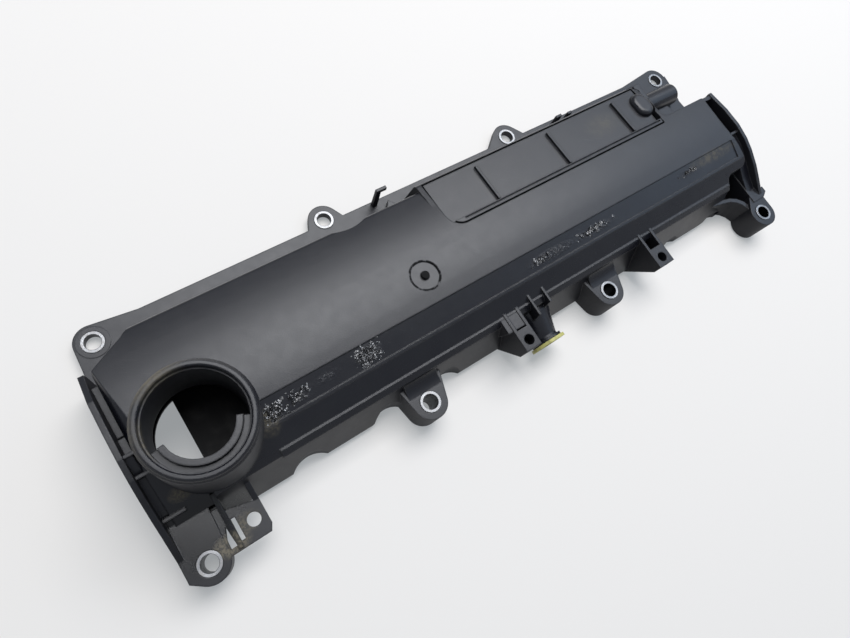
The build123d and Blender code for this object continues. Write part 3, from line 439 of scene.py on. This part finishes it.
def gate_stain_and_shade(tree):
    """Dark stain and painted shade on the moulding gate's nub and in the groove round it."""
    ring = dirt_and_shade_ring(tree, GATE_CENTRE, GATE_RING, GATE_RING_WIDTH)
    return calc(tree, "MAXIMUM", spots(tree, GATE_STAIN_AND_SHADE), ring)


def moulding(name, look, dust):
    """Charcoal moulding with grain and wear: a material, its tree and shader, and its tone, roughness
    and normal, which the caller adds to and links."""
    material, tree, shader = new_material(name)
    dusty = use(tree, "Lying dust", {"Amount": dust})["Mask"]
    tone, rough = worn_tone(tree, look, dusty), worn_roughness(tree, look, dusty)
    height = use(tree, "Moulded grain", {"Grain mm": look.grain * TO_MM})["Height"]
    normal = bumped(tree, height, 0.24, 0.0002, soft_normal(tree, look.soft_edge))
    shader.inputs["Specular IOR Level"].default_value = 0.42
    return material, tree, shader, tone, rough, normal


class COVER_OT_effects(bpy.types.Operator):
    """Build the shared effects that the finishes use"""
    bl_idname = "cover.effects"
    bl_label = "Shared effects"

    def execute(self, context):
        for build in (build_grain, build_spot, build_dust, build_edge, build_scratches, build_film_specks):
            build()
        return {"FINISHED"}


class COVER_OT_moulding(bpy.types.Operator):
    """Finish the cover's main moulding and its separator lid"""
    bl_idname = "cover.moulding"
    bl_label = "Cover and lid"

    def execute(self, context):
        look = context.scene.cover_moulding
        self.cover(look)
        self.lid(look)
        return {"FINISHED"}

    def cover(self, look):
        """Oil with painted shade, then soil, the gate's stain with painted shade, and crumbs of film on the
        cover.
        """
        material, tree, shader, tone, rough, normal = moulding("charcoal moulding", look, look.cover_dust)
        crumbs = use(tree, "Film crumbs", {"Mask": spots(tree, FILM)})
        for mask, tint, dulls in (
            # Oil and painted shade in the neck and the left bay.
            (spots(tree, OIL_AND_SHADE), OIL_AND_SHADE_BLACK, -OIL_SHINES),
            (spots(tree, SOIL), look.soil, SOIL_DULLS),
            # Stain and painted shade at the moulding gate.
            (gate_stain_and_shade(tree), STAIN_AND_SHADE_BLACK, STAIN_AND_SHADE_DULLS),
            (crumbs["Dark"], CRUMB_BLACK, -CRUMBS_SHINE),
        ):
            tone = paint(tree, mask, tone, tint)
            rough = more(tree, rough, mask, dulls, True)
        tone = paint(tree, crumbs["Pale"], tone, CRUMB_PALE)
        normal = bumped(tree, crumbs["Height"], 0.9, 0.0006, normal)
        feed(tree, shader, {"Base Color": tone, "Roughness": rough, "Normal": normal})
        assign("cover_body", material)

    def lid(self, look):
        """A faint brown patch of soil on the lid."""
        material, tree, shader, tone, rough, normal = moulding("charcoal lid moulding", look, look.lid_dust)
        soil = spots(tree, LID_SOIL)
        tone = paint(tree, soil, tone, look.soil)
        rough = more(tree, rough, soil, SOIL_DULLS, True)
        feed(tree, shader, {"Base Color": tone, "Roughness": rough, "Normal": normal})
        assign("separator_lid", material)


class COVER_OT_film(bpy.types.Operator):
    """Lay the crumpled scraps of torn film on the front band"""
    bl_idname = "cover.film"
    bl_label = "Torn film"

    def execute(self, context):
        look = context.scene.cover_trim
        material = self.material(look)
        context.view_layer.update()
        noise.seed_set(FILM_SEED)
        for number, scrap in enumerate(SCRAPS, 1):
            shape = self.crumpled(look, *scrap[:4])
            self.tear(look, shape, *scrap)
            mesh = bpy.data.meshes.new(f"torn_film_{number}")
            shape.to_mesh(mesh)
            shape.free()
            mesh.materials.append(material)
            piece = bpy.data.objects.new(mesh.name, mesh)
            context.scene.collection.objects.link(piece)
            skin = piece.modifiers.new("thickness", "SOLIDIFY")
            skin.thickness = look.film_thick
            skin.offset = 1.0
            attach(piece, BODY)
        return {"FINISHED"}

    def crumpled(self, look, x, y, half_long, half_wide):
        """A fine grid dropped on the cover and raised in small folds, lowest at its border."""
        shape = bmesh.new()
        long, wide = (int(half / look.film_facet * MM * 2) for half in (half_long, half_wide))
        bmesh.ops.create_grid(shape, x_segments=long, y_segments=wide, size=1.0)
        for vert in shape.verts:
            spot = Vector((x + vert.co.x * half_long, y + vert.co.y * half_wide, 0.0))
            inner = max(0.0, 1.0 - vert.co.xy.length)
            jolt = noise.noise_vector(spot * 1.9) * FILM_JOLT
            above = Vector((spot.x * MM, spot.y * MM, ABOVE_ALL))
            touch = NODES["cover_body"].ray_cast(above, Vector((0, 0, -1)))[1]
            fold = abs(noise.noise(spot * 0.8)) + 0.6 * abs(noise.noise(spot * 2.1 + Vector((9, 4, 2))))
            rise = look.film_rise * min(1.0, 2.2 * inner) * fold * 1.6
            vert.co = Vector(((spot.x + jolt.x) * MM, (spot.y + jolt.y) * MM, touch.z + rise + FILM_CLEAR))
        return shape

    def tear(self, look, shape, x, y, half_long, half_wide, torn):
        """Takes away what is torn out, more of it towards the border, and what lies too high."""
        lost = []
        for face in shape.faces:
            middle = face.calc_center_median() / MM
            away = Vector(((middle.x - x) / half_long, (middle.y - y) / half_wide, 0.0)).length
            left = noise.noise(middle * 0.55 + Vector((3, 7, 1))) * 0.5 + 0.5
            if left < torn + 0.35 * (away - 0.5) or middle.z > look.film_top / MM:
                lost.append(face)
        bmesh.ops.delete(shape, geom=lost, context="FACES")
        bmesh.ops.recalc_face_normals(shape, faces=shape.faces)

    def material(self, look):
        """Glossy black film with pale torn flecks."""
        material, tree, shader = new_material("torn glossy film")
        flecks = ramp(tree, cloud(tree, place(tree), 1.3, 4.0, 0.7), 0.55, 0.62)
        feed(tree, shader, {
            "Base Color": paint(tree, flecks, opaque(FILM_BLACK), look.film),
            "Roughness": ramp(tree, flecks, 0.0, 1.0, 0.14, 0.4),
            "Normal": bumped(tree, cloud(tree, place(tree), 2.2, 3.0, 0.6), 0.6, 0.0003),
            "Specular IOR Level": 0.9,
        })
        return material


class COVER_OT_baffle(bpy.types.Operator):
    """Finish the oily black baffle"""
    bl_idname = "cover.baffle"
    bl_label = "Baffle"

    def execute(self, context):
        look = context.scene.cover_trim
        material, tree, shader = new_material("oily black baffle")
        film = ramp(tree, cloud(tree, place(tree), 0.05, 4.0), 0.4, 0.65)
        height = use(tree, "Moulded grain", {"Grain mm": 0.9})["Height"]
        feed(tree, shader, {
            "Base Color": paint(tree, calc(tree, "MULTIPLY", film, 0.4), opaque(look.baffle), BAFFLE_OIL),
            "Roughness": ramp(tree, film, 0.0, 1.0, 0.62, 0.5),
            "Normal": bumped(tree, height, 0.2, 0.0003),
            "Specular IOR Level": 0.15,
        })
        assign("baffle_plate", material)
        return {"FINISHED"}


class COVER_OT_rubber(bpy.types.Operator):
    """Finish the perimeter gasket and the spout's seal"""
    bl_idname = "cover.rubber"
    bl_label = "Gasket and seal"

    def execute(self, context):
        look = context.scene.cover_trim
        for node, name, tint, soil in (
            ("perimeter_gasket", "black gasket rubber", look.gasket, GASKET_SOIL),
            ("spout_seal", "yellow green seal rubber", look.seal, SEAL_SOIL),
        ):
            material, tree, shader = new_material(name)
            stain = ramp(tree, cloud(tree, place(tree), 0.3, 4.0), 0.45, 0.75)
            height = use(tree, "Moulded grain", {"Grain mm": 0.3})["Height"]
            feed(tree, shader, {
                "Base Color": paint(tree, calc(tree, "MULTIPLY", stain, 0.5), opaque(tint), soil),
                "Roughness": ramp(tree, stain, 0.0, 1.0, 0.5, 0.75),
                "Normal": bumped(tree, height, 0.15, 0.0002, soft_normal(tree, 0.0004)),
            })
            assign(node, material)
        return {"FINISHED"}


class COVER_OT_sleeves(bpy.types.Operator):
    """Finish the steel sleeves, with turning marks round each one's own axis"""
    bl_idname = "cover.sleeves"
    bl_label = "Steel sleeves"

    def execute(self, context):
        look = context.scene.cover_trim
        for node in sorted(n for n in NODES if "sleeve" in n):
            low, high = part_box(node)
            middle = (low + high) / 2
            material, tree, shader = new_material("turned steel " + node)
            here = put(tree, "TexCoord").outputs["Object"]
            away = vector(tree, "SUBTRACT", here, (middle.x, middle.y, 0.0))
            reach = distance(tree, vector(tree, "MULTIPLY", away, (1.0, 1.0, 0.0)))
            rings = calc(tree, "SINE", calc(tree, "MULTIPLY", reach, 2 * math.pi / TURNING_PITCH))
            stain = ramp(tree, cloud(tree, place(tree), 0.5, 4.0), 0.45, 0.7)
            tone = paint(tree, calc(tree, "MULTIPLY", stain, 0.35), opaque(look.steel), STEEL_STAIN)
            # Painted shade: the middle of the sleeve's top is darkened to stand for the shaded bore.
            inside = ramp(tree, reach, look.bore_shade_width / 2 + 0.0003, look.bore_shade_width / 2)
            feed(tree, shader, {
                "Base Color": paint(tree, inside, tone, BORE_SHADE),
                "Roughness": ramp(tree, stain, 0.0, 1.0, 0.36, 0.5),
                "Normal": bumped(tree, rings, 0.12, 0.0001, soft_normal(tree, 0.0003)),
                "Metallic": 1.0,
            })
            assign(node, material)
        return {"FINISHED"}


class COVER_OT_stage(bpy.types.Operator):
    """Build the floor, the lamps, the world and the camera"""
    bl_idname = "cover.stage"
    bl_label = "Stage"

    def execute(self, context):
        look = context.scene.cover_stage
        self.floor(context, look)
        for name, spot, size, power, tint in LAMPS:
            self.lamp(context, name, spot, size, getattr(look, power), tint)
        self.world(context)
        self.camera(context, look)
        context.scene.view_settings.view_transform = "Standard"
        return {"FINISHED"}

    def floor(self, context, look):
        shape = bmesh.new()
        bmesh.ops.create_grid(shape, x_segments=1, y_segments=1, size=FLOOR_HALF)
        mesh = bpy.data.meshes.new("floor")
        shape.to_mesh(mesh)
        shape.free()
        floor = bpy.data.objects.new("floor", mesh)
        context.scene.collection.objects.link(floor)
        material, tree, shader = new_material("pale floor")
        feed(tree, shader, {"Base Color": opaque(look.floor), "Roughness": 0.8, "Specular IOR Level": 0.1})
        glow = put(tree, "Emission", {"Color": opaque(FLOOR_SEEN), "Strength": 1.0}).outputs[0]
        seen = calc(tree, "MULTIPLY", seen_directly(tree), look.glow)
        mixed = put(tree, "MixShader", {0: seen, 1: shader.outputs[0], 2: glow}).outputs[0]
        tree.links.new(mixed, tree.nodes["Material Output"].inputs["Surface"])
        mesh.materials.append(material)

    def lamp(self, context, name, spot, size, power, tint):
        """A soft rectangular lamp that faces straight down."""
        light = bpy.data.lights.new(name, "AREA")
        light.shape = "RECTANGLE"
        light.size, light.size_y = size
        light.energy = power
        light.color = tint
        lamp = bpy.data.objects.new(name, light)
        lamp.location = spot
        context.scene.collection.objects.link(lamp)

    def world(self, context):
        world = bpy.data.worlds.new("soft room")
        context.scene.world = world
        world.use_nodes = True
        tree = world.node_tree
        seen = seen_directly(tree)
        back = tree.nodes["Background"]
        tone = paint(tree, seen, opaque(ROOM_LIGHT), ROOM_SEEN)
        feed(tree, back, {"Color": tone, "Strength": ramp(tree, seen, 0.0, 1.0, ROOM_LIGHT_POWER, 1.0)})

    def camera(self, context, look):
        data = bpy.data.cameras.new("camera")
        data.lens = look.lens
        data.sensor_width = SENSOR_WIDTH
        data.clip_start = 0.01
        camera = bpy.data.objects.new("camera", data)
        turn, rise, roll = (math.radians(angle) for angle in (CAMERA_TURN, CAMERA_RISE, CAMERA_ROLL))
        back = Vector((math.sin(turn) * math.cos(rise), -math.cos(turn) * math.cos(rise), math.sin(rise)))
        across = (-back).cross(Vector((0.0, 0.0, 1.0))).normalized()
        up = across.cross(-back)
        right = math.cos(roll) * across + math.sin(roll) * up
        top = -math.sin(roll) * across + math.cos(roll) * up
        camera.matrix_world = Matrix((right, top, back)).transposed().to_4x4()
        camera.location = CAMERA_SPOT
        context.scene.collection.objects.link(camera)
        context.scene.camera = camera


class COVER_PT_panel(bpy.types.Panel):
    """Lists the finishes and the stage"""
    bl_idname = "COVER_PT_panel"
    bl_label = "Valve cover"
    bl_space_type = "VIEW_3D"
    bl_region_type = "UI"
    bl_category = "Valve cover"

    def draw(self, context):
        for look in (context.scene.cover_moulding, context.scene.cover_trim, context.scene.cover_stage):
            for name in look.__annotations__:
                self.layout.prop(look, name)
        for step in STEPS:
            self.layout.operator(step.bl_idname)


STEPS = (
    COVER_OT_effects, COVER_OT_moulding, COVER_OT_film, COVER_OT_baffle,
    COVER_OT_rubber, COVER_OT_sleeves, COVER_OT_stage,
)
LOOKS = (("cover_moulding", MouldingLook), ("cover_trim", TrimLook), ("cover_stage", StageLook))


def register():
    for name, look in LOOKS:
        bpy.utils.register_class(look)
        setattr(bpy.types.Scene, name, PointerProperty(type=look))
    for step in STEPS:
        bpy.utils.register_class(step)
    bpy.utils.register_class(COVER_PT_panel)


def unregister():
    bpy.utils.unregister_class(COVER_PT_panel)
    for step in reversed(STEPS):
        bpy.utils.unregister_class(step)
    for name, look in reversed(LOOKS):
        delattr(bpy.types.Scene, name)
        bpy.utils.unregister_class(look)


def main():
    register()
    for step in STEPS:
        group, name = step.bl_idname.split(".")
        getattr(getattr(bpy.ops, group), name)()


if __name__ == "__main__":
    main()
